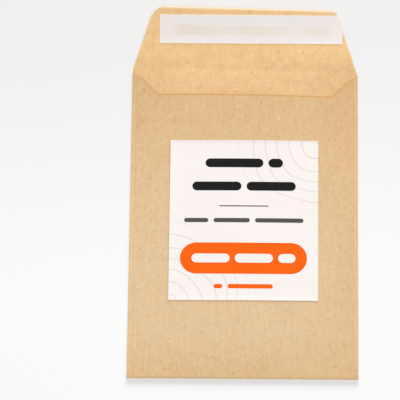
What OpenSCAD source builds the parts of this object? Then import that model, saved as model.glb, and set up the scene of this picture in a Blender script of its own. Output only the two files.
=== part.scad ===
// Pocket envelope of brown paper, lying on its address side with the closing flap open.
// X runs across the envelope, +Y towards the flap and +Z up. The origin is on the surface
// that it lies on, below the middle of its outline.

/* [Pocket] */
// Width across the two side folds
pocket_w = 132; // [110:1:240]
// Height from the bottom fold to the crease of the closing flap
pocket_h = 187; // [160:1:330]

/* [Paper] */
// Thickness of the paper
paper_t = 0.12; // [0.08:0.01:0.2]
// Outer radius of the side folds
fold_r = 0.5; // [0.25:0.01:0.6]

/* [Side seams] */
// Width of the side flaps, which are folded in and glued under the back panel
side_flap_w = 13; // [10:0.5:18]
// Height of the lower end of the side flaps above the bottom fold
side_flap_gap = 1.8; // [1.6:0.1:6]
// Rise of the slanted lower end of a side flap, from its fold to its inner edge
side_flap_slant = 5; // [2:0.5:12]
// Distance from a side fold to the edge of the back panel
seam_inset = 2.4; // [1:0.1:4]
// Height at which the back panel starts to widen towards the bottom corners
seam_flare_h = 11; // [6:0.5:20]
// Width cut off the back panel right at each bottom corner
seam_corner = 0.5; // [0.4:0.1:1]

/* [Throat] */
// Depth of the throat below the crease
throat_depth = 15; // [12:0.5:26]
// Distance from a side fold to the top of the throat's slanted shoulder
ear_w = 6; // [4.5:0.1:9]
// Fall of the edge from the side fold to the top of the shoulder
ear_h = 3.8; // [2:0.1:6]
// Width of the slanted shoulder at each end of the throat
shoulder_w = 9.3; // [5:0.1:16]
// Distance from the right end of the crease down to the end of the right side fold
crease_gap = 0.8; // [0.5:0.1:3]
// Angle by which the throat and the ends of the side folds fall to the right
throat_skew = 0.65; // [0:0.05:0.8]
// Depth by which the end of a side flap stays hidden below the edge of the back panel
tuck = 2; // [1:0.1:4]
// Radius of the cut at the corners of the throat
throat_corner_r = 1.5; // [0.5:0.1:3]

/* [Closing flap] */
// Angle by which the crease of the flap falls to the right
crease_skew = 1.6; // [0.8:0.1:2]
// Reach of the open flap past the crease, at its middle and seen from above
flap_reach = 38.9; // [34:0.1:60]
// Angle at which each side of the flap leans in
flap_lean = 18; // [5:1:25]
// Radius of the left corner of the flap
flap_left_r = 11; // [3:0.5:14]
// Radius of the right corner of the flap
flap_right_r = 5; // [3:0.5:14]
// Drop of the flap's end edge from left to right, across the width of the pocket
flap_end_drop = 2.6; // [0:0.1:4]
// Angle at which the open flap springs up from its crease
flap_lift = 1.5; // [0:0.5:12]
// Radius to which the flap curls up
curl_r = 220; // [120:5:400]
// Distance from the crease to the start of the curl, at the middle of the flap
curl_start = 7; // [4:0.5:15]
// Angle by which the line where the curl starts comes nearer to the crease at the left
curl_skew = 5; // [0:0.5:8]

/* [Sealing strip] */
// Height of the release liner
liner_h = 17.3; // [12:0.1:22]
// Thickness of the release liner
liner_t = 0.06; // [0.04:0.01:0.1]
// Distance from the end of the flap to the release liner, at the middle
liner_end_gap = 4.1; // [2:0.1:8]
// Distance from the left side fold to the left end of the liner
liner_left_gap = 15.6; // [12:0.1:25]
// Distance from the right side fold to the right end of the liner
liner_right_gap = 9; // [6:0.1:25]
// Height of the band of adhesive below the liner
adhesive_h = 6.7; // [4:0.1:10]
// Thickness of the band of adhesive
adhesive_t = 0.05; // [0.03:0.01:0.1]
// Length of liner without adhesive at each end
adhesive_end_gap = 9; // [7:0.1:16]

/* [Label] */
// Width of the label
label_w = 86; // [78:0.5:100]
// Height of the label
label_h = 97.2; // [94:0.1:112]
// Thickness of the label
label_t = 0.1; // [0.06:0.01:0.15]
// Height of the middle of the label above the middle of the pocket
label_rise = 1.5; // [-10:0.1:10]

/* [Print on the label] */
// Thickness of the ink
ink_t = 0.02; // [0.01:0.01:0.04]
// Height of the field with round ends
pill_h = 18.8; // [10:0.1:22]
// Distance from the ends of the round-ended field to the sides of the label
pill_side_gap = 6.4; // [3:0.1:15]
// Distance from the lower edge of the label to the round-ended field
pill_low_gap = 15.9; // [8:0.1:17]
// Distance from the upper edge of the label to the thin rule
rule_top_gap = 40.2; // [39:0.1:44]
// Length of the thin rule
rule_w = 28.4; // [10:0.1:50]
// Width of the line of the thin rule
rule_line = 0.6; // [0.3:0.05:1]
// Length of the first row of bars
first_row_w = 45; // [36:1:70]
// Shares of the first row that its bars take
first_shares = [4, 1]; // [1:1:4]
// Length of the second row of bars
second_row_w = 60; // [36:1:70]
// Shares of the second row that its bars take
second_shares = [1, 1]; // [1:1:4]
// Length of the row of bars below the rule
thin_row_w = 69; // [36:1:70]
// Shares of that row that its bars take
thin_shares = [2, 3, 4]; // [1:1:5]
// Height of the bars of the two upper rows
bar_h = 5.4; // [3:0.1:7]
// Distance from the upper edge of the label to the first row of bars
bar_top_gap = 13.9; // [6:0.1:16]
// Distance from one row of bars to the next
bar_pitch = 14.2; // [9:0.1:17]
// Gap between the bars of one row
bar_gap = 3; // [1:0.1:5]
// Height of the bars of the row below the rule
thin_bar_h = 2.6; // [1:0.1:4]
// Distance from the thin rule to the row of bars below it
thin_bar_drop = 8.7; // [4:0.1:10]

/* [Hidden] */
OUTSIDE = "#e0bc8e";
INSIDE = "#f0c890";
ADHESIVE = "#e8dcc4";
LINER = "#ebe4e1";
LABEL = "#fdfdfc";
INK_ORANGE = "#f5781e";
INK_BLACK = "#1e1e1e";
INK_GREY = "#6e6e6e";

// Steps in each rounded corner of a cut outline
ARC_STEPS = 16;
// Length that reaches past any part of the envelope
FAR = 600;

half_w = pocket_w / 2;
back_z = 2 * fold_r;
bottom_r = fold_r + paper_t / 2;

// Fall of the crease from the middle of the envelope to its right end
crease_fall = half_w * tan(crease_skew);

// Outline of the throat at the middle of the envelope, before it is skewed: end of the side
// folds, top of the shoulders and straight edge
side_top_y = pocket_h - crease_fall + half_w * tan(throat_skew) - crease_gap;
shoulder_y = side_top_y - ear_h;
throat_y = pocket_h - throat_depth;
throat_x = half_w - ear_w - shoulder_w;
ear_y = side_top_y - ear_h * (seam_inset - fold_r) / (ear_w - fold_r);

// Edge of the back panel above the inner edge of a side flap
over_flap_y = max(throat_y, shoulder_y - (shoulder_y - throat_y) * (side_flap_w - ear_w) / shoulder_w);

// Ends of the sloping end edge of the closing flap, measured from the crease
end_slope = flap_end_drop / pocket_w;
lean = tan(flap_lean);
end_mid_y = flap_reach + end_slope * lean * crease_fall;
end_left_y = (end_mid_y + end_slope * half_w) / (1 + end_slope * lean);
end_right_y = (end_mid_y - end_slope * half_w) / (1 - end_slope * lean);

// Layers on the closing flap, measured from its lower face
adhesive_low = paper_t;
liner_low = paper_t + adhesive_t;
liner_high_y = pocket_h + flap_reach - liner_end_gap;
liner_mid_y = liner_high_y - liner_h / 2;
liner_left_x = -half_w + liner_left_gap;
liner_right_x = half_w - liner_right_gap;

// The label keeps clear of the throat's edge
label_mid_y = min(pocket_h / 2 + label_rise, throat_y - 3 - label_h / 2);
label_low_y = label_mid_y - label_h / 2;
label_high_y = label_mid_y + label_h / 2;
label_z = back_z + paper_t;
rule_y = label_high_y - rule_top_gap;

function unit(v) = v / norm(v);

// Points of corner p, between neighbours a and b, rounded to radius r
function corner_points(a, p, b, r) =
    let (u = unit(a - p), v = unit(b - p), half = acos(u * v) / 2)
    let (centre = p + unit(u + v) * r / sin(half), turn = 180 - 2 * half)
    let (from = p + u * r / tan(half) - centre, to = p + v * r / tan(half) - centre)
    [for (i = [0 : ARC_STEPS])
        let (t = turn * i / ARC_STEPS)
        centre + (sin(turn - t) * from + sin(t) * to) / sin(turn)];

// Outline through the given points, each rounded to its own radius
function rounded(points, radii) =
    let (n = len(points))
    [for (i = [0 : n - 1])
        each radii[i] == 0
            ? [points[i]]
            : corner_points(points[(i + n - 1) % n], points[i], points[(i + 1) % n], radii[i])];

// Point or points moved down by the skew of the throat
function fallen(p) = [p.x, p.y - p.x * tan(throat_skew)];
function all_fallen(points) = [for (p = points) fallen(p)];

flap_points = rounded(
    [[-half_w, pocket_h + crease_fall - 1], [-half_w, pocket_h + crease_fall],
     [-half_w + (end_left_y - crease_fall) * lean, pocket_h + end_left_y],
     [half_w - (end_right_y + crease_fall) * lean, pocket_h + end_right_y],
     [half_w, pocket_h - crease_fall], [half_w, pocket_h - crease_fall - 1]],
    [0, 0, flap_left_r, flap_right_r, 0, 0]);

// Middle of the whole outline, from the bottom fold to the highest point of the flap
outline_mid_y = max([for (p = flap_points) p.y]) / 2;

// Half of a ring of paper, on the +X side of its centre
module half_ring(outer_r) {
    intersection() {
        difference() {
            circle(outer_r, $fn = 72);
            circle(outer_r - paper_t, $fn = 72);
        }
        translate([0, -outer_r - 1]) square([outer_r + 1, 2 * outer_r + 2]);
    }
}

// Front panel, cut back along the side folds, where the paper turns up
module front_panel() {
    linear_extrude(paper_t) difference() {
        polygon([
            [-half_w, bottom_r], [half_w, bottom_r],
            [half_w, pocket_h - crease_fall], [-half_w, pocket_h + crease_fall],
        ]);
        for (side = [-1, 1]) {
            fold_h = fold_top_y(side) - side_flap_gap;
            translate([side * half_w, side_flap_gap + fold_h / 2])
                square([2 * fold_r, fold_h], center = true);
        }
    }
}

// Height of the upper end of a side fold
function fold_top_y(side) = fallen([side * (half_w - fold_r), side_top_y]).y;

// Outline of a side flap with its fold, seen from above
module side_flap_outline(side) {
    inner_x = side * (half_w - side_flap_w);
    fold_x = side * (half_w - fold_r);
    outer_x = side * (half_w + 1);
    polygon([
        [outer_x, side_flap_gap],
        [fold_x, side_flap_gap],
        [inner_x, side_flap_gap + side_flap_slant],
        fallen([inner_x, over_flap_y - tuck]),
        fallen([side * (half_w - ear_w), shoulder_y]),
        [fold_x, fold_top_y(side)],
        [outer_x, fold_top_y(side)],
    ]);
}

// Side fold and the side flap that it carries, on the right for side 1 and the left for -1
module side_flap(side) {
    intersection() {
        mirror([side > 0 ? 0 : 1, 0, 0])
            translate([0, pocket_h, 0]) rotate([90, 0, 0]) linear_extrude(pocket_h) {
                translate([half_w - fold_r, fold_r]) half_ring(fold_r);
                translate([half_w - side_flap_w, back_z - paper_t])
                    square([side_flap_w - fold_r, paper_t]);
            }
        translate([0, 0, -1]) linear_extrude(back_z + 2) side_flap_outline(side);
    }
}

// Fold that joins the front panel to the back panel over the whole width
module bottom_fold() {
    translate([0, bottom_r, bottom_r])
        rotate([90, 0, 90])
            linear_extrude(pocket_w, center = true)
                mirror([1, 0]) half_ring(bottom_r);
}

// Back panel, wider at the bottom corners and cut out at the throat
module back_panel() {
    corner_x = half_w - max(seam_corner, fold_r);
    side_x = half_w - seam_inset;
    corner_y = 2 * bottom_r + paper_t;
    lower_left = [[-side_x, seam_flare_h], [-corner_x, corner_y], [-half_w, bottom_r]];
    lower_right = [[half_w, bottom_r], [corner_x, corner_y], [side_x, seam_flare_h]];
    upper = all_fallen([
        [side_x, ear_y], [half_w - ear_w, shoulder_y], [throat_x, throat_y],
        [-throat_x, throat_y], [-half_w + ear_w, shoulder_y], [-side_x, ear_y],
    ]);
    r = throat_corner_r;
    radii = [0, 0, 0, 0, 0, 0, 0, r, r, r, r, 0];
    translate([0, 0, back_z])
        linear_extrude(paper_t) polygon(rounded(concat(lower_left, lower_right, upper), radii));
}

// Sheet between two heights above the lower face of the closing flap: it rises from the
// crease at the angle of lift, stays flat at first and then curls up
module flap_layer(low, high) {
    translate([0, pocket_h, 0]) rotate([flap_lift, 0, -crease_skew]) intersection() {
        rotate([0, 0, curl_skew]) translate([0, curl_start, 0])
            rotate([90, 0, 90]) linear_extrude(2 * pocket_w, center = true) {
                translate([-FAR / 2, low]) square([FAR / 2, high - low]);
                translate([0, curl_r]) intersection() {
                    difference() {
                        circle(curl_r - low, $fn = 720);
                        circle(curl_r - high, $fn = 720);
                    }
                    translate([0, -curl_r - 1]) square([curl_r + 1, curl_r + 1]);
                }
            }
        translate([-FAR / 2, 0, -FAR / 2]) cube(FAR);
    }
}

// Closing flap, opened out and cut to its outline
module closing_flap() {
    intersection() {
        flap_layer(0, paper_t);
        translate([0, 0, -1]) linear_extrude(FAR) polygon(flap_points);
    }
}

// Row of bars with round ends, centred on the label, with its middle at height y
module bar_row(row_w, shares, bar_height, y) {
    n = len(shares);
    widths = shares * (row_w - (n - 1) * bar_gap) / (shares * [for (s = shares) 1]);
    starts = [for (i = 0, x = -row_w / 2; i < n; x = x + widths[i] + bar_gap, i = i + 1) x];
    for (i = [0 : n - 1]) translate([starts[i] + widths[i] / 2, y]) bar(widths[i], bar_height);
}

// Field with round ends, centred on the origin
module bar(width, height) {
    x = max(0.1, (width - height) / 2);
    square([2 * x, height], center = true);
    for (side = [-1, 1]) translate([side * x, 0]) circle(d = height, $fn = 48);
}

module inked() { translate([0, 0, label_z + label_t]) linear_extrude(ink_t) children(); }

module placed() { translate([0, -outline_mid_y, 0]) children(); }

// One sheet: front panel, two side flaps, bottom fold, back panel and closing flap
module folded_paper() {
    placed() {
        color(INSIDE) front_panel();
        color(OUTSIDE) side_flap(1);
        color(OUTSIDE) side_flap(-1);
        color(OUTSIDE) bottom_fold();
        color(OUTSIDE) back_panel();
        color(INSIDE) closing_flap();
    }
}

// Band of pressure-sensitive adhesive, in the middle below the release liner
module flap_adhesive() {
    placed() color(ADHESIVE) intersection() {
        flap_layer(adhesive_low, adhesive_low + adhesive_t);
        linear_extrude(FAR)
            translate([liner_left_x + adhesive_end_gap, liner_mid_y - adhesive_h / 2])
                square([liner_right_x - liner_left_x - 2 * adhesive_end_gap, adhesive_h]);
    }
}

// Release liner over the adhesive, trimmed with the flap where it reaches the flap's side
module release_liner() {
    placed() color(LINER) intersection() {
        flap_layer(liner_low, liner_low + liner_t);
        linear_extrude(FAR) intersection() {
            polygon(flap_points);
            translate([liner_left_x, liner_high_y - liner_h])
                square([liner_right_x - liner_left_x, liner_h]);
        }
    }
}

// Label on the back panel, with its print as fields of ink
module label() {
    placed() {
        color(LABEL) translate([-label_w / 2, label_low_y, label_z]) cube([label_w, label_h, label_t]);
        color(INK_ORANGE) inked()
            translate([0, label_low_y + pill_low_gap + pill_h / 2])
                bar(label_w - 2 * pill_side_gap, pill_h);
        color(INK_BLACK) inked() {
            bar_row(first_row_w, first_shares, bar_h, label_high_y - bar_top_gap);
            bar_row(second_row_w, second_shares, bar_h, label_high_y - bar_top_gap - bar_pitch);
            translate([0, rule_y]) square([rule_w, rule_line], center = true);
        }
        color(INK_GREY) inked()
            bar_row(thin_row_w, thin_shares, thin_bar_h, rule_y - thin_bar_drop);
    }
}

folded_paper();
flap_adhesive();
release_liner();
label();
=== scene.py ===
import math

import bpy
from bpy.props import FloatProperty, FloatVectorProperty, PointerProperty
from bpy.types import Operator, Panel, PropertyGroup
from mathutils import Matrix, Vector, noise


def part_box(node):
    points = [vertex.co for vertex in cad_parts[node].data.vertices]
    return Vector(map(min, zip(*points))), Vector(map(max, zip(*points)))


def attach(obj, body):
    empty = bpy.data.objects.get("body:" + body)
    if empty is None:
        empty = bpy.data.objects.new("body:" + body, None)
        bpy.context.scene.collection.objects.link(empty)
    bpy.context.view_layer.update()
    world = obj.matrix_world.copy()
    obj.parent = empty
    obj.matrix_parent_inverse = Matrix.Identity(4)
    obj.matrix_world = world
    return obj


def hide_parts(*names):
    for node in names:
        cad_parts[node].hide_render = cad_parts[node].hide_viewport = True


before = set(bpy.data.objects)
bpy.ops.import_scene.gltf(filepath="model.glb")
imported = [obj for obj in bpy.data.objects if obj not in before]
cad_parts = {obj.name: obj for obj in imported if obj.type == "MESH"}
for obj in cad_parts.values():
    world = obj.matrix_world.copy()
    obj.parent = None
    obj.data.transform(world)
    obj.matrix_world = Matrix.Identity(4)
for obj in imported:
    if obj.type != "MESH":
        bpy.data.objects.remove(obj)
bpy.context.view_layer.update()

bl_info = {
    "name": "Pocket Envelope",
    "version": (1, 0, 0),
    "blender": (4, 5, 0),
    "location": "3D View > Sidebar > Envelope",
    "description": "Builds a brown paper envelope with an open flap, a sealing strip and a label",
    "category": "Add Mesh",
}

MM = 0.001
SHEET_LOW, SHEET_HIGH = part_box("folded_paper")
LABEL_LOW, LABEL_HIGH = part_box("label")
LINER_LOW, LINER_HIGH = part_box("release_liner")
ADHESIVE_LOW, ADHESIVE_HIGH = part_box("flap_adhesive")

# Numbers of steps in the meshes
COLUMNS = 100
BACK_ROWS = 118
FRONT_ROWS = 46
THROAT_ROWS = 16
FLAP_ROWS = 26
ARC_STEPS = 14
FOLD_STEPS = 8
SIDE_FLAP_STEPS = 10
STRIP_COLUMNS, STRIP_ROWS = 84, 16
LABEL_COLUMNS, LABEL_ROWS = 58, 66
BAR_END_STEPS = 12
BAR_STEP = 1.5 * MM
THROAT_RIM = 0.5 * MM

# Least step between rows and between columns, as shares of their reach
LEAST_ROW, LEAST_COLUMN = 2e-4, 1e-4

# Soft waves of the paper: width, height, layer of the noise and share of the cockle
BACK_WAVES = ((34 * MM, 46 * MM, 1.7, 1.0), (13 * MM, 19 * MM, 6.1, 0.35))
FRONT_WAVES = ((26 * MM, 12 * MM, 3.3, 0.7),)
FLAP_WAVES = ((30 * MM, 24 * MM, 8.2, 1.4), (11 * MM, 14 * MM, 4.4, 0.56))

# Distances over which the lifts of the sheet grow or fade
BACK_RISE = 19 * MM
ARCH_RISE, ARCH_FADE = 14 * MM, 45 * MM
FRONT_WAVES_DROP, FRONT_WAVES_FADE = 8 * MM, 22 * MM
FLAP_WAVES_RISE = 25 * MM
HINGE_RISE = 5 * MM

# Wear of the paper, which roughens it pale above 0, partly as painted light on the bottom fold and
# the flap's end; below 0 it is painted shade that darkens it
# Painted shade along the throat's rim, fading from the throat and the shoulders, and along the
# seams
THROAT_SHADE, THROAT_NEAR_SHADE, SHOULDER_NEAR_SHADE = -0.9, -0.14, -0.3
SEAM_SHADE = -0.6
# Partly wear and partly painted light, which brightens the shaded underside of the bottom fold
BOTTOM_FOLD_WEAR_AND_LIGHT = 0.85
FLAP_SIDE_WEAR = 0.5
SIDE_FLAP_WEAR, SIDE_FOLD_WEAR = 0.15, 0.45
# Painted shade at the upper ends of the side folds and near them
FOLD_END_SHADE, FOLD_END_NEAR_SHADE = -0.6, -0.35
NEAR = 4 * MM
# Width of the flap's worn end, which is partly a painted highlight
WORN_AND_LIT_END = 1.1 * MM

# Share of the half width that is worn along each cut side
WORN_EDGE = 0.005

# Features per metre in the paper
CLOUDS, MOTTLES, HUES, FLOCS, SPECKS, GRAIN = 50.0, 170.0, 320.0, 420.0, 700.0, 1400.0
RIBS_ACROSS, RIBS_ALONG = 850, 60

# Factors of the paper's colour at its palest and its darkest fibres, on each side
INNER_FIBRES = ((1.1, 1.17, 1.22), (0.78, 0.67, 0.58))
OUTER_FIBRES = ((1.12, 1.18, 1.21), (0.75, 0.655, 0.595))

# Lengths of the bars that stand for printed lines, row by row
FIRST_BARS = (33.6 * MM, 8.4 * MM)
SECOND_BARS = (28.5 * MM, 28.5 * MM)
THIN_BARS = (14 * MM, 21 * MM, 28 * MM)
PILL_BARS = (22 * MM, 22 * MM, 10 * MM)
FOOT_BARS = (5 * MM, 26 * MM)

# Faint curved lines of the label
LINES_PITCH, LINES_REACH, LINES_WOBBLE = 7 * MM, 50 * MM, 16 * MM

# Place, width and height of each lamp, which faces the middle of the envelope
TOP_LAMP = ((0.05, -0.45, 1.45), 0.9, 0.9)
LOW_LAMP = ((0.15, 2.4, 0.6), 1.6, 0.6)
FLOOR_REACH = 3.0
# Span in y over which painted shade makes the floor greyer
FLOOR_TURNS_GREY = (-0.08, 0.12)
SENSOR_WIDTH = 36.0


def tone(red, green, blue):
    """Linear colour of three display values from 0 to 255."""
    return tuple(
        v / 12.92 if v <= 0.04045 else ((v + 0.055) / 1.055) ** 2.4
        for v in (red / 255, green / 255, blue / 255)
    )


def length(name, description, default):
    return FloatProperty(
        name=name, description=description, default=default, min=0.0, unit="LENGTH", precision=5
    )


def angle(name, description, degrees):
    return FloatProperty(
        name=name, description=description, default=math.radians(degrees), subtype="ANGLE"
    )


def amount(name, description, default):
    return FloatProperty(name=name, description=description, default=default, min=0.0)


def colour(name, of, *parts):
    """Colour of something, given by its three display values."""
    return FloatVectorProperty(
        name=name, description="Colour of " + of, default=tone(*parts), min=0.0, max=1.0,
        subtype="COLOR",
    )


def point(name, description, default):
    return FloatVectorProperty(
        name=name, description=description, default=default, subtype="XYZ", unit="LENGTH"
    )


class SheetSettings(PropertyGroup):
    """Sizes and colours of the folded sheet."""

    width: length("Width", "Width across the side folds", SHEET_HIGH.x - SHEET_LOW.x)
    height: length("Height", "Height from the bottom fold to the crease", 187 * MM)
    thickness: length("Paper", "Thickness of the paper", 0.12 * MM)
    fold_radius: length("Fold radius", "Outer radius of the side folds", 0.5 * MM)
    side_flap: length("Side flap", "Width of the glued side flaps", 13 * MM)
    side_flap_gap: length("Side flap start", "Height of a side flap's lower end", 1.8 * MM)
    side_flap_slant: length("Side flap slant", "Rise of a side flap's lower end", 5 * MM)
    seam_inset: length("Seam inset", "Side fold to the back panel's edge", 2.4 * MM)
    flare_height: length("Flare height", "Height where the back panel starts to widen", 11 * MM)
    corner_cut: length("Corner cut", "Width cut off at each bottom corner", 0.5 * MM)
    throat_depth: length("Throat depth", "Crease to the throat's straight edge", 15 * MM)
    ear_width: length("Ear width", "Side fold to the top of the shoulder", 6 * MM)
    ear_fall: length("Ear fall", "Fall of the edge beside the shoulder", 3.8 * MM)
    shoulder_width: length("Shoulder width", "Width of each slanted shoulder", 9.3 * MM)
    crease_gap: length("Crease gap", "Right end of the crease to the side fold's end", 0.8 * MM)
    tuck: length("Tuck", "Depth by which a side flap's end stays hidden", 2 * MM)
    throat_skew: angle("Throat skew", "Angle by which the throat falls to the right", 0.65)
    crease_skew: angle("Crease skew", "Angle by which the crease falls to the right", 1.6)
    reach: length("Flap reach", "Reach of the open flap past its crease", 38.9 * MM)
    lean: angle("Flap lean", "Angle at which each side of the flap leans in", 18)
    left_radius: length("Left corner", "Radius of the flap's left corner", 11 * MM)
    right_radius: length("Right corner", "Radius of the flap's right corner", 5 * MM)
    end_drop: length("End drop", "Drop of the flap's end from left to right", 2.6 * MM)
    lift: angle("Lift", "Angle at which the flap springs up from its crease", 1.5)
    curl_radius: length("Curl radius", "Radius to which the flap curls up", 220 * MM)
    curl_start: length("Curl start", "Crease to the start of the curl", 7 * MM)
    curl_skew: angle("Curl skew", "Angle between the curl and the crease", 5)
    bulge: length("Bulge", "Height by which the throat's edge stands open", 1.0 * MM)
    bulge_depth: length("Bulge depth", "Distance over which that opening closes", 45 * MM)
    air: length("Air", "Height by which the air in the pocket lifts the back panel", 0.45 * MM)
    roll: length("Roll", "Drop of the flap's outer edge where it rolls back", 0.3 * MM)
    roll_width: length("Roll width", "Width of the rolled edge", 1.7 * MM)
    cockle: length("Cockle", "Height of the paper's soft waves", 0.3 * MM)
    arch: length("Arch", "Rise of the front panel from the crease to the throat", 0.35 * MM)
    hinge: length("Hinge rise", "Extra rise of the flap just past its crease", 0.15 * MM)
    outside: colour("Outside", "the outer side", 224, 187, 139)
    middle: colour("Middle", "the paler lower half of the back", 229, 197, 155)
    inside: colour("Inside", "the inner side", 233, 193, 141)
    # Painted light: paler towards the flap's end, making up for the shade of its curl
    painted_light_tip: colour("Tip", "the inner side towards the flap's end", 252, 208, 149)
    fleck: colour("Fleck", "the pale flecks", 253, 226, 180)
    # Also the colour of the painted light on the bottom fold
    rough: colour("Rough", "paper roughened by folding and handling", 243, 214, 166)
    # Painted shade along the throat, the shoulders, the seams and the fold ends
    shaded: colour("Shaded", "paper pressed along cuts", 214, 161, 92)
    # Also the colour of the painted highlight at the flap's end
    edge: colour("Edge", "the cut edge", 244, 227, 196)


class StripSettings(PropertyGroup):
    """Sizes and colours of the adhesive and its release liner."""

    liner_thickness: length("Liner", "Thickness of the release liner", 0.06 * MM)
    adhesive_thickness: length("Adhesive", "Thickness of the adhesive", 0.05 * MM)
    liner: colour("Liner colour", "the release liner", 248, 241, 238)
    # Painted highlight along the liner's cut sides
    rim: colour("Liner rim", "the liner along its cut sides", 254, 246, 236)
    veiled: colour("Veiled adhesive", "the adhesive seen through the liner", 243, 231, 219)
    adhesive: colour("Adhesive colour", "the bare adhesive", 226, 205, 168)


class LabelSettings(PropertyGroup):
    """Sizes and colours of the label and its print."""

    thickness: length("Thickness", "Thickness of the label", 0.1 * MM)
    edge_lift: length("Edge lift", "Height by which the label's edges spring up", 0.14 * MM)
    left_lift: length("Left lift", "Height by which its left edge springs up", 0.5 * MM)
    edge_width: length("Edge width", "Width over which they spring up", 2.5 * MM)
    ink: length("Ink", "Thickness of the printed fields", 0.02 * MM)
    pill_height: length("Pill height", "Height of the round-ended field", 18.8 * MM)
    pill_side: length("Pill margin", "Label's side to the round-ended field", 6.4 * MM)
    pill_low: length("Pill rise", "Label's lower edge to the round-ended field", 15.9 * MM)
    rule_top: length("Rule drop", "Label's upper edge to the thin rule", 40.2 * MM)
    rule_width: length("Rule length", "Length of the thin rule", 28.4 * MM)
    rule_line: length("Rule line", "Width of the rule's line", 0.6 * MM)
    bar_height: length("Bar height", "Height of the thick bars", 5.4 * MM)
    bar_top: length("Bar drop", "Label's upper edge to the first row of bars", 13.9 * MM)
    bar_pitch: length("Bar pitch", "Distance between the rows of thick bars", 14.2 * MM)
    bar_gap: length("Bar gap", "Gap between the bars of a row", 3 * MM)
    thin_height: length("Thin bar height", "Height of the thin bars", 2.6 * MM)
    thin_drop: length("Thin bar drop", "Thin rule to the thin bars", 8.7 * MM)
    foot_low: length("Foot rise", "Label's lower edge to the lowest bars", 8.4 * MM)
    white: colour("White", "the label", 250, 243, 239)
    lines: colour("Line tint", "the faint curved lines", 220, 211, 209)
    orange: colour("Orange", "the orange ink", 255, 100, 0)
    black: colour("Black", "the black ink", 14, 13, 13)
    grey: colour("Grey", "the grey ink", 84, 82, 82)


class StageSettings(PropertyGroup):
    """Floor, light and camera."""

    # Painted shade of the floor beyond the flap
    floor_far: colour("Far floor", "the floor beyond the flap", 238, 238, 238)
    floor_near: colour("Near floor", "the floor before the envelope", 252, 252, 252)
    sky: amount("Sky", "Brightness of the light from all round", 0.42)
    top_lamp: amount("Top lamp", "Power of the large lamp above, in watts", 8.2)
    low_lamp: amount("Low lamp", "Power of the low lamp beyond the flap, in watts", 74.0)
    lens: amount("Lens", "Focal length of the camera in millimetres", 300.0)
    camera_place: point("Camera", "Place of the camera", (0.0128, -0.6250, 1.8313))
    camera_aim: point("Aim", "Point that the camera looks at", (-0.0255, -0.0059, 0.0))
    camera_roll: angle("Roll", "Turn of the camera about its line of sight", 0.76)


class EnvelopeSettings(PropertyGroup):
    """All the settings of the envelope and its stage."""

    sheet: PointerProperty(type=SheetSettings)
    strip: PointerProperty(type=StripSettings)
    label: PointerProperty(type=LabelSettings)
    stage: PointerProperty(type=StageSettings)


def blend(a, b, share):
    return a + (b - a) * share


def linked(name, data):
    """Object with the given data, linked to the scene."""
    obj = bpy.data.objects.new(name, data)
    bpy.context.scene.collection.objects.link(obj)
    return obj


def steps(start, end, count):
    """Evenly spaced values from start to end, both included."""
    return [blend(start, end, i / count) for i in range(count + 1)]


def waves(x, y, layers):
    """Sum of soft waves at x, y. Each layer is given by its width, height, layer and share."""
    return sum(
        share * (0.5 + 0.5 * noise.noise(Vector((x / wide, y / high, layer))))
        for wide, high, layer, share in layers
    )


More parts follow.
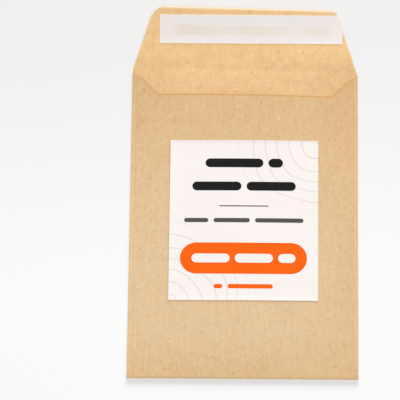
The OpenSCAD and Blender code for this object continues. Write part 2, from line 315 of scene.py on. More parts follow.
class FoldPlan:
    """Places on the folded sheet, worked out from its settings."""

    def __init__(self, sheet):
        self.sheet = sheet
        self.half = sheet.width / 2
        self.bottom = SHEET_LOW.y
        self.crease = self.bottom + sheet.height
        self.back_low = 2 * sheet.fold_radius
        self.back_middle = self.back_low + sheet.thickness / 2
        self.bottom_radius = sheet.fold_radius + sheet.thickness / 2
        self.throat_skew = math.tan(sheet.throat_skew)
        self.crease_skew = math.tan(sheet.crease_skew)
        self.side_low = self.bottom + sheet.side_flap_gap
        skewed = self.half * (self.crease_skew - self.throat_skew)
        self.side_top = self.crease - skewed - sheet.crease_gap
        self.shoulder = self.side_top - sheet.ear_fall
        self.throat = self.crease - sheet.throat_depth
        self.ear_x = self.half - sheet.ear_width
        self.throat_x = self.ear_x - sheet.shoulder_width
        self.glued_x = self.half - sheet.side_flap
        self.slope = sheet.end_drop / sheet.width
        self.lean = math.tan(sheet.lean)

    def panel_top(self, x):
        """Upper edge of the back panel, with its ears, shoulders and throat."""
        side = abs(x)
        skew = self.throat_skew * x
        if side > self.ear_x:
            share = (side - self.ear_x) / (self.sheet.ear_width - self.sheet.fold_radius)
            return blend(self.shoulder, self.side_top, share) - skew
        share = max(0.0, (side - self.throat_x) / self.sheet.shoulder_width)
        return blend(self.throat, self.shoulder, share) - skew

    def back_half(self, y):
        """Half of the back panel's width at y."""
        sheet = self.sheet
        start = self.bottom + self.bottom_radius
        corner = self.bottom + 2 * self.bottom_radius + sheet.thickness
        flare = self.bottom + sheet.flare_height
        if y < corner:
            return self.half - sheet.corner_cut * max(0.0, y - start) / (corner - start)
        share = min(1.0, (y - corner) / (flare - corner))
        return self.half - blend(sheet.corner_cut, sheet.seam_inset, share)

    def front_half(self, y):
        """Half of the front panel's width at y, which is less where the paper turns up."""
        folded = self.side_low <= y <= self.side_top
        return self.half - self.sheet.fold_radius if folded else self.half

    def front_y(self, x, y):
        """Place at x of the front panel's row at y, which falls to the right like the crease."""
        up_fold = max(0.0, (y - self.side_low) / (self.side_top - self.side_low))
        if up_fold <= 1:
            return y - x * up_fold * self.throat_skew
        share = (y - self.side_top) / (self.crease - self.side_top)
        return y - x * blend(self.throat_skew, self.crease_skew, share)

    def back_lift(self, x, y):
        """Height of the back panel above its glued level: air, open throat and soft waves."""
        sheet = self.sheet
        free = max(0.0, 1 - (x / self.glued_x) ** 2)
        low_end = 1 - math.exp(-max(0.0, y - self.bottom - self.bottom_radius) / BACK_RISE)
        pillow = (sheet.air + sheet.cockle * waves(x, y, BACK_WAVES)) * free * low_end
        open_end = math.exp(-(((self.throat - y) / sheet.bulge_depth) ** 2))
        return pillow + sheet.bulge * free ** 2 * open_end

    def front_lift(self, x, y):
        """Height of the front panel above the floor: an arch and waves near the throat."""
        free = max(0.0, 1 - (x / self.half) ** 2)
        inward = max(0.0, self.crease - self.crease_skew * x - y)
        grown = 1 - math.exp(-inward / ARCH_RISE)
        arch = self.sheet.arch * grown * math.exp(-((inward / ARCH_FADE) ** 2))
        near = math.exp(-(((y - self.crease + FRONT_WAVES_DROP) / FRONT_WAVES_FADE) ** 2))
        return free * (arch + self.sheet.cockle * near * waves(x, y, FRONT_WAVES))

    def on_flap(self, x, y, depth):
        """Point of the closing flap seen at x, y from above, depth above its lower face."""
        sheet = self.sheet
        above = y - self.crease
        turn = sheet.crease_skew
        away = above * math.cos(turn) + x * math.sin(turn)
        beside = x * math.cos(turn) - above * math.sin(turn)
        along, rise = away, depth
        radius = sheet.curl_radius
        skew = sheet.curl_skew
        # The place along the flap and its rise depend on each other, and settle in a few rounds
        for _ in range(6):
            along = (away + rise * math.sin(sheet.lift)) / math.cos(sheet.lift)
            curled = along * math.cos(skew) - beside * math.sin(skew) - sheet.curl_start
            if curled > 0:
                rise = radius - math.sqrt((radius - depth) ** 2 - curled ** 2)
            else:
                rise = depth
        z = along * math.sin(sheet.lift) + rise * math.cos(sheet.lift)
        sprung = min(1.0, max(0.0, away / FLAP_WAVES_RISE))
        fade = 1 - (x / self.half) ** 2 * 0.5
        waved = sheet.cockle * waves(x, y, FLAP_WAVES) * sprung * fade
        to_end = sheet.reach - self.slope * x - above
        rolled = sheet.roll * max(0.0, 1 - to_end / sheet.roll_width) ** 2
        hinged = sheet.hinge * (1 - math.exp(-((max(0.0, away) / HINGE_RISE) ** 2)))
        return Vector((x, y, z + waved + hinged - rolled))

    def corner(self, side):
        """Rounded corner of the flap from its crease: first and last point, centre and radius."""
        lean, slope, reach = self.lean * side, self.slope, self.sheet.reach
        foot = -side * self.half * self.crease_skew
        y = (reach - slope * (side * self.half + lean * foot)) / (1 - slope * lean)
        corner = Vector((side * self.half - lean * (y - foot), y))
        down = Vector((lean, -1)).normalized()
        across = Vector((-side, side * slope)).normalized()
        half_turn = down.angle(across) / 2
        radius = self.sheet.right_radius if side > 0 else self.sheet.left_radius
        centre = corner + (down + across).normalized() * radius / math.sin(half_turn)
        tangent = radius / math.tan(half_turn)
        return corner + down * tangent, corner + across * tangent, centre, radius

    def flap_side(self, side, share):
        """Side of the flap's outline on the line that lies at that share of the reach."""
        first, _, centre, radius = self.corner(side)
        lean = self.lean * side
        foot = -side * self.half * self.crease_skew
        # The line y = level + grade * x meets the straight side or the circle of the corner
        level, grade = share * self.sheet.reach, -blend(self.crease_skew, self.slope, share)
        x = (side * self.half - lean * (level - foot)) / (1 + lean * grade)
        if level + grade * x <= first.y:
            return x
        a = 1 + grade ** 2
        b = 2 * (grade * (level - centre.y) - centre.x)
        c = centre.x ** 2 + (level - centre.y) ** 2 - radius ** 2
        return (-b + side * math.sqrt(max(0.0, b * b - 4 * a * c))) / (2 * a)

    def flap_shares(self):
        """Shares of the reach at which the flap's rows lie, closer round the corners."""
        reach, skew = self.sheet.reach, self.crease_skew
        shares = set()
        for side in (-1, 1):
            first, last, centre, _ = self.corner(side)
            start, end = first - centre, last - centre
            turn = start.angle(end)
            for t in steps(0.0, turn, ARC_STEPS):
                p = centre + (math.sin(turn - t) * start + math.sin(t) * end) / math.sin(turn)
                shares.add(min(1.0, (p.y + skew * p.x) / (reach - (self.slope - skew) * p.x)))
        shares = sorted(shares)
        shares = [a for a, b in zip(shares, shares[1:]) if b - a > LEAST_ROW] + [1.0]
        return steps(0.0, shares[0], FLAP_ROWS)[1:] + shares[1:]


class Sheet:
    """Open surface of rows that share their points, thickened into paper at the end."""

    def __init__(self):
        self.points = []
        self.faces = []
        self.wear = []

    def row(self, points, wear=None):
        """Adds a row of points and their wear and painted light: above 0 roughened and pale, below
        0 darkened as painted shade.
        """
        start = len(self.points)
        self.points.extend(points)
        self.wear.extend(wear or [0.0] * (len(self.points) - start))
        return list(range(start, len(self.points)))

    def join(self, rows, flip=False):
        for lower, upper in zip(rows, rows[1:]):
            for i in range(len(lower) - 1):
                face = (lower[i], lower[i + 1], upper[i + 1], upper[i])
                self.faces.append(face[::-1] if flip else face)

    def thicken(self, name, thickness, upper, under=None, edge=None):
        """Object of the surface with its thickness, and a material for each side and the edge."""
        mesh = bpy.data.meshes.new(name)
        mesh.from_pydata([tuple(p) for p in self.points], [], self.faces)
        wear = mesh.attributes.new("wear", "FLOAT", "POINT")
        wear.data.foreach_set("value", self.wear)
        for material in (upper, under or upper, edge or upper):
            mesh.materials.append(material)
        obj = linked(name, mesh)
        shell = obj.modifiers.new("Thickness", "SOLIDIFY")
        shell.thickness = thickness
        shell.offset = 0
        shell.use_even_offset = True
        shell.material_offset = 1
        shell.material_offset_rim = 2
        graph = bpy.context.evaluated_depsgraph_get()
        solid = bpy.data.meshes.new_from_object(obj.evaluated_get(graph), depsgraph=graph)
        obj.modifiers.clear()
        obj.data = solid
        bpy.data.meshes.remove(mesh)
        solid.name = name
        solid.shade_smooth()
        solid.set_sharp_from_angle(angle=math.radians(45))
        return obj


def maths(operation, reflected=False):
    """Method of a signal that adds a Math node of one operation."""

    def method(self, *others):
        values = (*others, self) if reflected else (self, *others)
        return self.shader.node("ShaderNodeMath", {"operation": operation}, dict(enumerate(values)))

    return method


class Signal:
    """Output of a shader node that Python arithmetic can be used on."""

    def __init__(self, shader, socket):
        self.shader = shader
        self.socket = socket

    __add__ = __radd__ = maths("ADD")
    __sub__, __rsub__ = maths("SUBTRACT"), maths("SUBTRACT", reflected=True)
    __mul__ = __rmul__ = maths("MULTIPLY")
    __truediv__ = maths("DIVIDE")
    __pow__ = maths("POWER")
    __abs__ = maths("ABSOLUTE")
    fraction = maths("FRACT")
    highest = maths("MAXIMUM")


class Shader:
    """Node tree of one material or of the world, built from Python expressions."""

    def __init__(self, owner):
        owner.use_nodes = True
        self.owner = owner
        self.tree = owner.node_tree
        self.tree.nodes.clear()

    def node(self, kind, settings=None, inputs=None, output=0):
        """Adds a node with its settings and inputs, and gives one of its outputs."""
        node = self.tree.nodes.new(kind)
        for name, value in (settings or {}).items():
            setattr(node, name, value)
        for name, value in (inputs or {}).items():
            if isinstance(value, Signal):
                self.tree.links.new(value.socket, node.inputs[name])
            elif node.inputs[name].type == "RGBA":
                node.inputs[name].default_value = (*value[:3], 1.0)
            else:
                node.inputs[name].default_value = value
        return Signal(self, node.outputs[output]) if node.outputs else None

    def place(self):
        """Position on the object, and its three coordinates."""
        position = self.node("ShaderNodeNewGeometry", output="Position")
        parts = self.node("ShaderNodeSeparateXYZ", inputs={0: position})
        node = parts.socket.node
        return position, [Signal(self, socket) for socket in node.outputs]

    def vector(self, x, y, z):
        return self.node("ShaderNodeCombineXYZ", inputs={0: x, 1: y, 2: z})

    def noise(self, vector, scale, detail=2.0):
        inputs = {"Vector": vector, "Scale": scale, "Detail": detail}
        return self.node("ShaderNodeTexNoise", inputs=inputs)

    def band(self, value, low, high):
        """Soft step from 0 at low to 1 at high."""
        inputs = {"Value": value, "From Min": low, "From Max": high}
        return self.node("ShaderNodeMapRange", {"interpolation_type": "SMOOTHSTEP"}, inputs)

    def mix(self, share, first, second):
        """Mix of two colours."""
        settings = {"data_type": "RGBA", "clamp_factor": True}
        return self.node("ShaderNodeMix", settings, {0: share, 6: first, 7: second}, 2)

    def shades(self, share, base, *factors):
        """Mix of two shades of one colour, given as factors of it."""
        return self.mix(share, *(tuple(min(1.0, part * f) for part in base) for f in factors))

    def tinted(self, shade, factors):
        """Colour with each of its parts multiplied by a factor."""
        return self.node("ShaderNodeVectorMath", {"operation": "MULTIPLY"}, {0: shade, 1: factors})

    def bump(self, height, distance, strength=1.0):
        inputs = {"Height": height, "Distance": distance, "Strength": strength}
        return self.node("ShaderNodeBump", inputs=inputs)

    def surface(self, **inputs):
        """Principled surface with the given inputs, and the material that has it."""
        names = {
            name.replace("_", " ").title().replace("Ior", "IOR"): value
            for name, value in inputs.items()
        }
        shader = self.node("ShaderNodeBsdfPrincipled", inputs=names)
        self.node("ShaderNodeOutputMaterial", inputs={"Surface": shader})
        return self.owner


def fibres(shader, x, y, turn, long, thin, layer):
    """Mask of scattered fibres that lie at one angle."""
    c, s = math.cos(turn), math.sin(turn)
    along = (x * c + y * s) / long
    across = (y * c - x * s) / thin
    return shader.band(shader.noise(shader.vector(along, across, layer), 1.0, 1.0), 0.66, 0.74)


def specks(shader, vector, size, share):
    """Mask of scattered specks that fill a share of a grid's cells, of a size given in cells."""
    cell = shader.node("ShaderNodeTexVoronoi", inputs={"Vector": vector, "Scale": 1.0})
    outputs = cell.socket.node.outputs
    away, draw = (Signal(shader, outputs[name]) for name in ("Distance", "Color"))
    draw = shader.node("ShaderNodeSeparateColor", inputs={"Color": draw})
    return shader.band(away, size, 0.6 * size) * shader.band(draw, share + 0.01, share)


def paper_material(name, sheet, base, rim, fibre_shades, ribbing, mottling, graining):
    """Unbleached paper: cloudy formation, machine ribs along Y, scattered fibres and grain."""
    shader = Shader(bpy.data.materials.new(name))
    position, (x, y, z) = shader.place()
    clouds = shader.noise(position, CLOUDS, 3.0)
    mottles = shader.noise(position, MOTTLES)
    flocs = shader.noise(position, FLOCS, 3.0)
    hue = shader.noise(position, HUES) - 0.5
    ribs = shader.vector(x * RIBS_ACROSS, y * RIBS_ALONG, z * RIBS_ACROSS)
    ribs = shader.noise(ribs, 1.0)
    grain = shader.noise(position, GRAIN)
    # The back is paler in its lower half, less so at the right
    lower = shader.band(y, 66 * MM, -48 * MM) * shader.band(y, -117 * MM, -84 * MM)
    lower = lower * shader.band(x, 85 * MM, 28 * MM)
    body = shader.mix(lower, base, sheet.middle)
    # Painted shade: its upper half is a little darker towards the side folds, where the panel
    # curves down
    sides = shader.band(y, 15 * MM, 45 * MM) * shader.band(y, 88 * MM, 76 * MM)
    sides = sides * shader.band(abs(x), 28 * MM, 66 * MM)
    body = shader.mix(sides, body, shader.tinted(body, (0.955, 0.935, 0.92)))
    # Painted light: the flap is paler and warmer towards its end, making up for the shade its curl
    # gets from the low lamp
    body = shader.mix(shader.band(y, 64 * MM, 100 * MM), body, sheet.painted_light_tip)
    warm, cool = shader.tinted(body, (1.0, 0.93, 0.84)), shader.tinted(body, (0.97, 1.03, 1.12))
    body = shader.mix(hue.highest(0.0) * 2.0, body, warm)
    body = shader.mix((0.0 - hue).highest(0.0) * 1.7, body, cool)
    pale, dark = (shader.tinted(body, factors) for factors in fibre_shades)
    # Its fibres stand out less where it is paler
    calm = 1.0 - lower * 0.25
    tint = (clouds - 0.5) * 0.35 + (mottles - 0.5) * mottling + (flocs - 0.5) * 0.8
    tint = (tint + (ribs - 0.5) * ribbing) * calm + (grain - 0.5) * graining
    shade = shader.mix(tint.highest(0.0), body, pale)
    shade = shader.mix((0.0 - tint).highest(0.0), shade, dark)
    dark_fibres = fibres(shader, x, y, 1.25, 2.6 * MM, 0.6 * MM, 2.0)
    dark_specks = shader.band(shader.noise(position, SPECKS, 1.0), 0.70, 0.78)
    pale_fibres = fibres(shader, x, y, 1.85, 3.4 * MM, 0.6 * MM, 7.0)
    cross_fibres = fibres(shader, x, y, 0.5, 2.8 * MM, 0.55 * MM, 11.0)
    # Shives and flecks, bent out of their grid by the flocs
    across, along = x + (flocs - 0.5) * (2 * MM), y + (hue + ribs - 0.5) * (3 * MM)
    dark_dashes = specks(shader, shader.vector(across * 330, along * 150, 0.0), 0.2, 0.5)
    pale_dashes = specks(shader, shader.vector(across * 320 + 7, along * 170, 2.0), 0.2, 0.65)
    cross_dashes = specks(shader, shader.vector(across * 160, along * 380, 4.0), 0.19, 0.5)
    pale_dots = specks(shader, shader.vector(across * 160, along * 160, 6.0), 0.08, 0.3)
    shade = shader.mix(dark_fibres.highest(dark_specks) * calm * 0.42, shade, dark)
    shade = shader.mix(dark_dashes * calm * 0.5, shade, dark)
    shade = shader.mix(pale_fibres.highest(cross_fibres) * 0.6, shade, pale)
    shade = shader.mix(pale_dashes.highest(cross_dashes) * 0.7, shade, pale)
    shade = shader.mix(pale_dots * 0.8, shade, sheet.fleck)
    wear = shader.node("ShaderNodeAttribute", {"attribute_name": "wear"}, output="Fac")
    # Wear roughens the paper pale; on the bottom fold and the flap's end this is partly painted
    # light
    shade = shader.mix(wear.highest(0.0) * (0.75 + grain * 0.4), shade, rim)
    # Painted shade: below 0 the paper is darkened along the throat, shoulders, seams and fold ends
    shade = shader.mix((0.0 - wear).highest(0.0), shade, sheet.shaded)
    height = ribs * ribbing + grain * 0.5 + flocs * 0.4 + pale_fibres * 0.25 + dark_fibres * 0.2
    return shader.surface(
        base_color=shade,
        roughness=0.74 + (flocs - 0.5) * 0.2,
        specular_ior_level=0.25,
        normal=shader.bump(height, 0.05 * MM, 0.8),
    )


def edge_material(name, base):
    """Cut edge of the paper, where pale fibres stand out."""
    shader = Shader(bpy.data.materials.new(name))
    position, _ = shader.place()
    grain = shader.noise(position, 1800.0)
    return shader.surface(
        base_color=shader.shades(grain, base, 0.86, 1.08),
        roughness=0.9,
        specular_ior_level=0.2,
        normal=shader.bump(grain, 0.04 * MM),
    )


def liner_material(name, strip):
    """Smooth translucent release paper, with the adhesive faintly visible through it."""
    shader = Shader(bpy.data.materials.new(name))
    position, (x, y, _) = shader.place()
    ragged = (shader.noise(position, 130.0, 3.0) - 0.5) * (3.5 * MM)
    middle = (ADHESIVE_LOW + ADHESIVE_HIGH) / 2
    half = (ADHESIVE_HIGH - ADHESIVE_LOW) / 2
    # The adhesive shows where it was pressed on, a little lower and askew, softer at its ends
    right, lower, fall = 0.8 * MM, 0.9 * MM, 0.008
    longer, slimmer, soft = 0.8 * MM, 0.4 * MM, 1.4 * MM
    past_end = (abs(x - middle.x - right) + ragged - half.x - longer) * 0.5
    past_side = abs(y - middle.y + lower + x * fall) + ragged - half.y + slimmer
    over = shader.band(past_end.highest(past_side), soft, -soft)
    thick = shader.noise(position, 120.0, 3.0)
    patches = shader.band(shader.noise(position, 26.0, 1.0), 0.34, 0.6)
    gloss = shader.noise(position, 70.0)
    sheen = shader.shades(gloss, strip.liner, 0.985, 1.015)
    # Painted highlight: it is brighter along its cut sides, where light comes through the
    # translucent liner
    centre, reach = (LINER_LOW + LINER_HIGH) / 2, (LINER_HIGH - LINER_LOW) / 2
    past_border = (abs(x - centre.x) - reach.x).highest(abs(y - centre.y) - reach.y)
    sheen = shader.mix(shader.band(past_border, -1.1 * MM, -0.4 * MM), sheen, strip.rim)
    return shader.surface(
        base_color=shader.mix(over * (0.05 + thick * 0.85 + patches * 0.55), sheen, strip.veiled),
        roughness=0.42 + thick * 0.12,
        specular_ior_level=0.4,
        coat_weight=0.15,
        coat_roughness=0.3,
        normal=shader.bump(shader.noise(position, 700.0), 0.015 * MM, 0.6),
    )


def adhesive_material(name, strip):
    """Thin glossy band of adhesive with small streaks from its coating."""
    shader = Shader(bpy.data.materials.new(name))
    _, (x, y, z) = shader.place()
    streaks = shader.noise(shader.vector(x * 60, y * 900, z * 900), 1.0)
    return shader.surface(
        base_color=shader.shades(streaks, strip.adhesive, 0.9, 1.1),
        roughness=0.25 + streaks * 0.15,
        normal=shader.bump(streaks, 0.03 * MM),
    )


def label_material(name, label):
    """Smooth white label paper with two groups of faint curved lines in its corners."""
    shader = Shader(bpy.data.materials.new(name))
    position, (x, y, _) = shader.place()
    wobble = (shader.noise(position, 24.0, 1.0) - 0.5) * LINES_WOBBLE
    lines = 0.0
    for centre in ((LABEL_HIGH.x, LABEL_HIGH.y), (LABEL_LOW.x, LABEL_LOW.y)):
        away = ((x - centre[0]) ** 2 + (y - centre[1]) ** 2) ** 0.5 + wobble
        ring = abs((away / LINES_PITCH).fraction() - 0.5)
        line = shader.band(ring, 0.05, 0.02)
        line = line * shader.band(away, LINES_REACH, 0.75 * LINES_REACH)
        lines = line + lines
    grain = shader.noise(position, 1500.0)
    paper = shader.shades(grain, label.white, 0.985, 1.01)
    return shader.surface(
        base_color=shader.mix(lines * 0.8, paper, label.lines),
        roughness=0.5 + grain * 0.1,
        specular_ior_level=0.35,
        normal=shader.bump(grain, 0.01 * MM, 0.5),
    )


def ink_material(name, base):
    """Printed ink, a little uneven in its cover."""
    shader = Shader(bpy.data.materials.new(name))
    position, _ = shader.place()
    cover = shader.noise(position, 1600.0)
    return shader.surface(
        base_color=shader.shades(cover, base, 0.96, 1.05),
        roughness=0.5 + cover * 0.1,
        specular_ior_level=0.12,
        normal=shader.bump(cover, 0.006 * MM, 0.5),
    )


def column_places(plan):
    """Places of the columns from -1 to 1, closer at the throat's corners and at the sides."""
    reach = plan.half - plan.sheet.seam_inset
    places = set(steps(-1.0, 1.0, COLUMNS))
    for side in (-1, 1):
        places.update((side * (1 - WORN_EDGE), side * (1 - 1.7 * WORN_EDGE)))
        for x in (plan.ear_x, plan.throat_x, plan.glued_x):
            for shift in (-THROAT_RIM, 0.0, THROAT_RIM):
                places.add(side * (x + shift) / reach)
    ordered = sorted(places)
    return [ordered[0]] + [b for a, b in zip(ordered, ordered[1:]) if b - a > LEAST_COLUMN]


def build_sheet(sheet):
    """The folded sheet, row by row from the throat round the bottom fold to the flap's end."""
    plan = FoldPlan(sheet)
    across = column_places(plan)
    surface = Sheet()
    middle = sheet.thickness / 2
    start = plan.bottom + plan.bottom_radius
    rows = []

    # Rows of the back panel, with a thin rim at the throat and one row at the bottom corners
    upper_reach = plan.half - sheet.seam_inset
    rim = THROAT_RIM / (plan.throat - start)
    corner = plan.bottom_radius + sheet.thickness
    shares = [1.0, 1 - rim] + steps(1 - 1.6 * rim, 0.0, BACK_ROWS)
    shares.insert(-1, corner / (plan.throat - start))
    for share in shares:
        points, wear = [], []
        at_throat = share >= 1 - rim
        for a in across:
            top = plan.panel_top(a * upper_reach)
            y = blend(start, top, share)
            x = a * plan.back_half(y)
            points.append((x, y, plan.back_middle + plan.back_lift(x, y)))
            # Painted shade near the throat and the shoulders, along the throat's rim and along the
            # seams
            near = SHOULDER_NEAR_SHADE if abs(x) > plan.throat_x else THROAT_NEAR_SHADE
            near *= math.exp(-(top - y) / NEAR)
            beside = SEAM_SHADE if abs(a) == 1 else 0.0
            wear.append(THROAT_SHADE if at_throat else min(near, beside))
        rows.append(surface.row(points, wear))

    turn_radius = plan.bottom_radius - middle
    for turn in steps(math.pi / 2, -math.pi / 2, FOLD_STEPS)[1:-1]:
        y = start - turn_radius * math.cos(turn)
        z = plan.bottom_radius + turn_radius * math.sin(turn)
        # Wear and painted light on the bottom fold, which brightens its shaded underside
        worn = [BOTTOM_FOLD_WEAR_AND_LIGHT * math.cos(turn) ** 2] * len(across)
        rows.append(surface.row([(a * plan.half, y, z) for a in across], worn))

    # Rows of the front panel, closer near the throat, with two at each end of the side folds
    near_throat = plan.throat - 6 * MM
    tiny, clear = 0.15 * MM, 0.4 * MM
    low, top = plan.side_low, plan.side_top
    front = steps(start, near_throat, FRONT_ROWS) + steps(near_throat, plan.crease, THROAT_ROWS)[1:]
    front = [y for y in front if all(abs(y - edge) > clear for edge in (low, top))]
    front = sorted(front + [low - tiny, low, top, top + tiny])
    sides = []
    for y in front:
        half = plan.front_half(y)
        points = [(a * half, plan.front_y(a * half, y)) for a in across]
        rows.append(surface.row([(*p, middle + plan.front_lift(*p)) for p in points]))
        if low <= y <= top:
            sides.append((y, rows[-1]))

    worn_sides = [FLAP_SIDE_WEAR if abs(a) > 1 - 1.1 * WORN_EDGE else 0.0 for a in across]
    for share in plan.flap_shares():
        left, right = plan.flap_side(-1, share), plan.flap_side(1, share)
        points = []
        for a in across:
            x = blend(left, right, (a + 1) / 2)
            above = share * sheet.reach - blend(plan.crease_skew, plan.slope, share) * x
            points.append(plan.on_flap(x, plan.crease + above, middle))
        # The flap's end is worn pale, and partly painted as a highlight
        end_wear_and_highlight = math.exp(-(((1 - share) * sheet.reach / WORN_AND_LIT_END) ** 2))
        rows.append(surface.row(points, [max(end_wear_and_highlight, side) for side in worn_sides]))
    surface.join(rows)
    for side in (-1, 1):
        add_side_flap(surface, plan, sides, side)

    return surface.thicken(
        "envelope_sheet",
        sheet.thickness,
        paper_material(
            "paper inside", sheet, sheet.inside, sheet.edge, INNER_FIBRES,
            ribbing=0.2, mottling=1.0, graining=0.7,
        ),
        paper_material(
            "paper outside", sheet, sheet.outside, sheet.rough, OUTER_FIBRES,
            ribbing=0.6, mottling=0.3, graining=1.3,
        ),
        edge_material("paper edge", sheet.edge),
    )


def add_side_flap(surface, plan, sides, side):
    """Side fold and glued side flap, joined to the end of each row of the front panel."""
    sheet = plan.sheet
    turn_radius = sheet.fold_radius - sheet.thickness / 2
    axis = plan.half - sheet.fold_radius
    inner_low = plan.side_low + sheet.side_flap_slant
    inner_top = plan.panel_top(side * plan.glued_x) - sheet.tuck
    fold_top = plan.front_y(side * axis, plan.side_top)
    turns = steps(-math.pi / 2, math.pi / 2, FOLD_STEPS)[1:]
    path = [
        (axis + turn_radius * math.cos(turn), sheet.fold_radius + turn_radius * math.sin(turn))
        for turn in turns
    ]
    level = path[-1][1]
    path += [(x, level) for x in steps(axis, plan.glued_x, SIDE_FLAP_STEPS)[1:]]
    worn = [SIDE_FLAP_WEAR + SIDE_FOLD_WEAR * math.cos(turn) ** 2 for turn in turns]
    worn += [SIDE_FLAP_WEAR] * SIDE_FLAP_STEPS
    rows = []
    for y, row in sides:
        share = (y - plan.side_low) / (plan.side_top - plan.side_low)
        points = []
        for x, z in path:
            inward = max(0.0, axis - x) / (axis - plan.glued_x)
            low = blend(plan.side_low, inner_low, inward)
            top = blend(fold_top, inner_top, inward)
            points.append((side * x, blend(low, top, share), z))
        # Painted shade darkens the fold near its upper end, and the cut end itself
        near = math.exp(-(plan.side_top - y) / NEAR)
        shaded = FOLD_END_SHADE if y == plan.side_top else FOLD_END_NEAR_SHADE * near
        wear = [w * (1 - near) + shaded for w in worn]
        rows.append([row[-1] if side > 0 else row[0]] + surface.row(points, wear))
    surface.join(rows, flip=side < 0)


def strip_layer(plan, name, low, high, depth, thickness, material, trim=False):
    """Layer on the flap between two corners, trimmed with the flap's side where it reaches it."""
    surface = Sheet()
    rows = []
    first, _, centre, radius = plan.corner(1)
    for y in steps(low.y, high.y, STRIP_ROWS):
        right = high.x
        if trim:
            above = y - plan.crease
            side_x = plan.half - plan.lean * (above + plan.half * plan.crease_skew)
            if above > first.y:
                side_x = centre.x + math.sqrt(radius ** 2 - (above - centre.y) ** 2)
            right = min(right, side_x)
        xs = steps(low.x, right, STRIP_COLUMNS)
        rows.append(surface.row([plan.on_flap(x, y, depth) for x in xs]))
    surface.join(rows)
    return surface.thicken(name, thickness, material)


def build_strip(sheet, strip):
    """Adhesive on the flap's inner side and the release liner over it."""
    plan = FoldPlan(sheet)
    adhesive_depth = sheet.thickness + strip.adhesive_thickness / 2
    liner_depth = sheet.thickness + strip.adhesive_thickness + strip.liner_thickness / 2
    adhesive = strip_layer(
        plan, "adhesive_band", ADHESIVE_LOW, ADHESIVE_HIGH, adhesive_depth,
        strip.adhesive_thickness, adhesive_material("adhesive", strip),
    )
    liner = strip_layer(
        plan, "liner_strip", LINER_LOW, LINER_HIGH, liner_depth,
        strip.liner_thickness, liner_material("release paper", strip), trim=True,
    )
    return adhesive, liner


def build_label(sheet, label):
    """White label that follows the back panel."""
    plan = FoldPlan(sheet)
    surface = Sheet()
    rows = []
    level = plan.back_low + sheet.thickness + label.thickness / 2
    for y in steps(LABEL_LOW.y, LABEL_HIGH.y, LABEL_ROWS):
        points = []
        for x in steps(LABEL_LOW.x, LABEL_HIGH.x, LABEL_COLUMNS):
            to_edge = min(LABEL_HIGH.x - x, y - LABEL_LOW.y, LABEL_HIGH.y - y)
            sprung = label.edge_lift * max(0.0, 1 - to_edge / label.edge_width) ** 2
            to_left = (x - LABEL_LOW.x) / label.edge_width
            sprung = max(sprung, label.left_lift * max(0.0, 1 - to_left) ** 2)
            points.append((x, y, level + plan.back_lift(x, y) + sprung))
        rows.append(surface.row(points))
    surface.join(rows)
    return surface.thicken("label_sheet", label.thickness, label_material("label paper", label))


class Print:
    """Fields of one ink that lie on the label, in a layer counted from 0."""

    def __init__(self, sheet, label, ink, layer=0):
        self.plan = FoldPlan(sheet)
        self.label = label
        self.ink = ink
        self.level = self.plan.back_low + sheet.thickness + label.thickness
        self.level += label.ink * (layer + 0.5)
        self.surface = Sheet()

    def bar(self, x, y, width, height, rounded=True):
        """Bar centred on x, y, with round ends."""
        radius = height / 2
        straight = width / 2 - radius if rounded else width / 2
        turns = steps(0.0, math.pi / 2, BAR_END_STEPS)
        ends = [straight + radius * math.sin(turn) for turn in turns]
        middles = steps(0.0, straight, max(2, int(straight / BAR_STEP)))
        right = middles + (ends[1:-1] if rounded else [])
        places = [-p for p in reversed(right[1:])] + right
        rows = []
        for share in steps(-1.0, 1.0, max(2, int(height / BAR_STEP))):
            points = []
            for place in places:
                past = max(0.0, abs(place) - straight)
                tall = math.sqrt(radius ** 2 - past ** 2) if rounded else radius
                at = (x + place, y + share * tall)
                points.append((*at, self.level + self.plan.back_lift(*at)))
            rows.append(self.surface.row(points))
        self.surface.join(rows)

    def row_of_bars(self, widths, height, y):
        x = -(sum(widths) + (len(widths) - 1) * self.label.bar_gap) / 2
        middle = (LABEL_LOW.x + LABEL_HIGH.x) / 2
        for width in widths:
            self.bar(middle + x + width / 2, y, width, height)
            x += width + self.label.bar_gap

    def piece(self):
        material = ink_material(self.ink + " ink", getattr(self.label, self.ink))
        return self.surface.thicken("print_" + self.ink, self.label.ink, material)


def build_print(sheet, label):
    """Printed fields: an orange pill, a thin rule and rows of plain bars."""
    top, low = LABEL_HIGH.y, LABEL_LOW.y
    middle = (LABEL_LOW.x + LABEL_HIGH.x) / 2
    width = LABEL_HIGH.x - LABEL_LOW.x
    pill_y = low + label.pill_low + label.pill_height / 2
    rule_y = top - label.rule_top
    first_y = top - label.bar_top

    orange = Print(sheet, label, "orange")
    orange.bar(middle, pill_y, width - 2 * label.pill_side, label.pill_height)
    orange.row_of_bars(FOOT_BARS, label.thin_height, low + label.foot_low)
    black = Print(sheet, label, "black")
    black.row_of_bars(FIRST_BARS, label.bar_height, first_y)
    black.row_of_bars(SECOND_BARS, label.bar_height, first_y - label.bar_pitch)
    black.bar(middle, rule_y, label.rule_width, label.rule_line, rounded=False)
    grey = Print(sheet, label, "grey")
    grey.row_of_bars(THIN_BARS, label.thin_height, rule_y - label.thin_drop)
    white = Print(sheet, label, "white", layer=1)
    white.row_of_bars(PILL_BARS, label.bar_height, pill_y)
    return [fields.piece() for fields in (orange, black, grey, white)]


def lamp(name, place, width, height, power):
    """Rectangular lamp that faces the middle of the envelope."""
    data = bpy.data.lights.new(name, "AREA")
    data.shape = "RECTANGLE"
    data.size = width
    data.size_y = height
    data.energy = power
    obj = linked(name, data)
    obj.location = place
    obj.rotation_euler = (-Vector(place)).to_track_quat("-Z", "Y").to_euler()


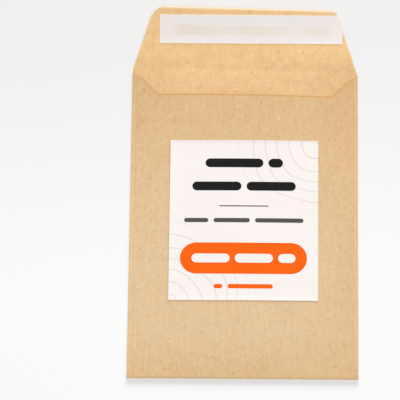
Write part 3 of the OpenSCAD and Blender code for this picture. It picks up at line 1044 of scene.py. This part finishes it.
def build_floor(stage):
    """Plain pale floor, with painted shade that makes it a little greyer beyond the flap."""
    mesh = bpy.data.meshes.new("floor")
    signs = ((-1, -1), (1, -1), (1, 1), (-1, 1))
    corners = [(x * FLOOR_REACH, y * FLOOR_REACH, 0) for x, y in signs]
    mesh.from_pydata(corners, [], [(0, 1, 2, 3)])
    shader = Shader(bpy.data.materials.new("floor"))
    _, (_, y, _) = shader.place()
    far = shader.band(y, *FLOOR_TURNS_GREY)
    mesh.materials.append(shader.surface(
        base_color=shader.mix(far, stage.floor_near, stage.floor_far),
        roughness=0.85,
        specular_ior_level=0.2,
    ))
    floor = linked("floor", mesh)


def build_sky(stage):
    """Even light from all round, which the camera sees as white."""
    world = bpy.data.worlds.new("sky")
    bpy.context.scene.world = world
    shader = Shader(world)
    rays = [
        shader.node("ShaderNodeLightPath", output=name)
        for name in ("Is Camera Ray", "Is Glossy Ray", "Is Transmission Ray")
    ]
    seen = rays[0].highest(rays[1]).highest(rays[2])
    strength = seen * (1.0 - stage.sky) + stage.sky
    inputs = {"Color": (1.0, 1.0, 1.0), "Strength": strength}
    glow = shader.node("ShaderNodeBackground", inputs=inputs)
    shader.node("ShaderNodeOutputWorld", inputs={"Surface": glow})


def build_camera(stage):
    """Camera that looks down on the envelope from the photo's angle."""
    data = bpy.data.cameras.new("camera")
    data.lens = stage.lens
    data.sensor_width = SENSOR_WIDTH
    camera = linked("camera", data)
    place, aim = Vector(stage.camera_place), Vector(stage.camera_aim)
    forward = (aim - place).normalized()
    right = forward.cross(Vector((0, 1, 0))).normalized()
    turn = Matrix.Rotation(-stage.camera_roll, 3, forward)
    right = turn @ right
    up = right.cross(forward)
    matrix = Matrix((right, up, -forward)).transposed().to_4x4()
    matrix.translation = place
    camera.matrix_world = matrix
    bpy.context.scene.camera = camera


def keep(obj, material_slot, *nodes):
    """Piece rides on the envelope's only body and stands for its CAD nodes."""
    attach(obj, "root")
    if nodes:
        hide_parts(*nodes)


class ENVELOPE_OT_sheet(Operator):
    """Build the folded sheet of paper"""

    bl_idname = "envelope.sheet"
    bl_label = "Folded Sheet"

    def execute(self, context):
        keep(build_sheet(context.scene.envelope.sheet), "paper", "folded_paper")
        return {"FINISHED"}


class ENVELOPE_OT_strip(Operator):
    """Build the adhesive and its release liner"""

    bl_idname = "envelope.strip"
    bl_label = "Sealing Strip"

    def execute(self, context):
        settings = context.scene.envelope
        adhesive, liner = build_strip(settings.sheet, settings.strip)
        keep(adhesive, "adhesive", "flap_adhesive")
        keep(liner, "liner", "release_liner")
        return {"FINISHED"}


class ENVELOPE_OT_label(Operator):
    """Build the label on the back panel"""

    bl_idname = "envelope.label"
    bl_label = "Label"

    def execute(self, context):
        settings = context.scene.envelope
        keep(build_label(settings.sheet, settings.label), "label", "label")
        return {"FINISHED"}


class ENVELOPE_OT_print(Operator):
    """Build the printed fields of the label"""

    bl_idname = "envelope.print"
    bl_label = "Label Print"

    def execute(self, context):
        settings = context.scene.envelope
        for piece in build_print(settings.sheet, settings.label):
            keep(piece, "label")
        return {"FINISHED"}


class ENVELOPE_OT_stage(Operator):
    """Set the floor, the light and the camera"""

    bl_idname = "envelope.stage"
    bl_label = "Stage"

    def execute(self, context):
        stage = context.scene.envelope.stage
        context.scene.view_settings.view_transform = "Standard"
        build_floor(stage)
        build_sky(stage)
        lamp("top lamp", *TOP_LAMP, stage.top_lamp)
        lamp("low lamp", *LOW_LAMP, stage.low_lamp)
        build_camera(stage)
        return {"FINISHED"}


OPERATORS = (
    ENVELOPE_OT_stage,
    ENVELOPE_OT_sheet,
    ENVELOPE_OT_strip,
    ENVELOPE_OT_label,
    ENVELOPE_OT_print,
)


class ENVELOPE_PT_builder(Panel):
    """Panel that lists the envelope's builders and settings"""

    bl_idname = "ENVELOPE_PT_builder"
    bl_label = "Pocket Envelope"
    bl_space_type = "VIEW_3D"
    bl_region_type = "UI"
    bl_category = "Envelope"

    def draw(self, context):
        settings = context.scene.envelope
        for operator in OPERATORS:
            self.layout.operator(operator.bl_idname)
        for name in ("sheet", "strip", "label", "stage"):
            box = self.layout.box()
            box.label(text=name.title())
            group = getattr(settings, name)
            for key in group.__annotations__:
                box.prop(group, key)


CLASSES = (
    SheetSettings,
    StripSettings,
    LabelSettings,
    StageSettings,
    EnvelopeSettings,
    *OPERATORS,
    ENVELOPE_PT_builder,
)


def register():
    for cls in CLASSES:
        bpy.utils.register_class(cls)
    bpy.types.Scene.envelope = PointerProperty(type=EnvelopeSettings)


def unregister():
    del bpy.types.Scene.envelope
    for cls in reversed(CLASSES):
        bpy.utils.unregister_class(cls)


def main():
    register()
    bpy.ops.envelope.stage()
    bpy.ops.envelope.sheet()
    bpy.ops.envelope.strip()
    bpy.ops.envelope.label()
    bpy.ops.envelope.print()


if __name__ == "__main__":
    main()
